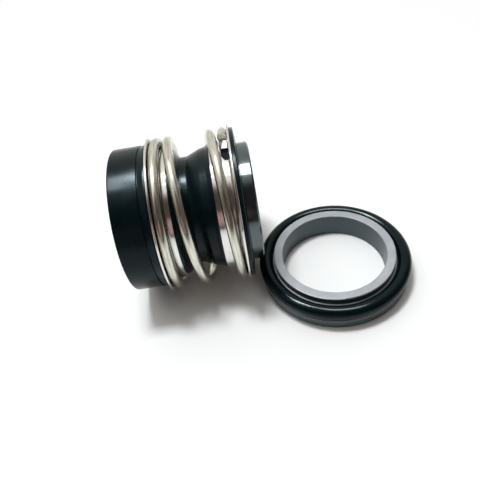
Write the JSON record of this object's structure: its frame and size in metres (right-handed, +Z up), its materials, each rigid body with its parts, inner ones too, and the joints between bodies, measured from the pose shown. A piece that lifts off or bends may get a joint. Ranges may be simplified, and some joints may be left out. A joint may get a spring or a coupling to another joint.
{
  "type": "component mechanical seal",
  "caption": "Elastomer bellows mechanical seal: a spring-loaded rotary head lying on its pressed collars, and a flanged stationary seat with O-ring beside it; seals a rotating shaft.",
  "frame": {"origin": "on the surface that the parts lie on, at the centre of the whole set's footprint", "axes": "+X along the rotary head's axis from its rubber tail towards its lapped face, +Z up out of the surface, which is also the stationary seat's axis"},
  "size_m": [0.0712, 0.0498, 0.04],
  "materials": {
    "lapped_ceramic": "fine matt grey, smooth lapped faces",
    "lapped_carbon": "dark carbon, smooth with a soft gloss",
    "moulded_rubber": "satin black",
    "pressed_stainless": "bright polished",
    "spring_wire": "bright drawn wire",
    "ring_rubber": "satin black"
  },
  "bodies": {
    "tail_unit": {"bellows": "moulded_rubber", "coil_spring": "spring_wire", "tail_collar": "pressed_stainless", "stationary_seat": "lapped_ceramic", "seat_o_ring": "ring_rubber"},
    "face_unit": {"seal_face": "lapped_carbon", "face_collar": "pressed_stainless"}
  },
  "joints": [
    {"name": "face_travel", "type": "slide", "parent": "tail_unit", "child": "face_unit", "axis": [-1, 0, 0], "range_m": [0, 0.006], "stiffness_N_per_m": 2750, "deforming": ["coil_spring", "bellows"]}
  ]
}
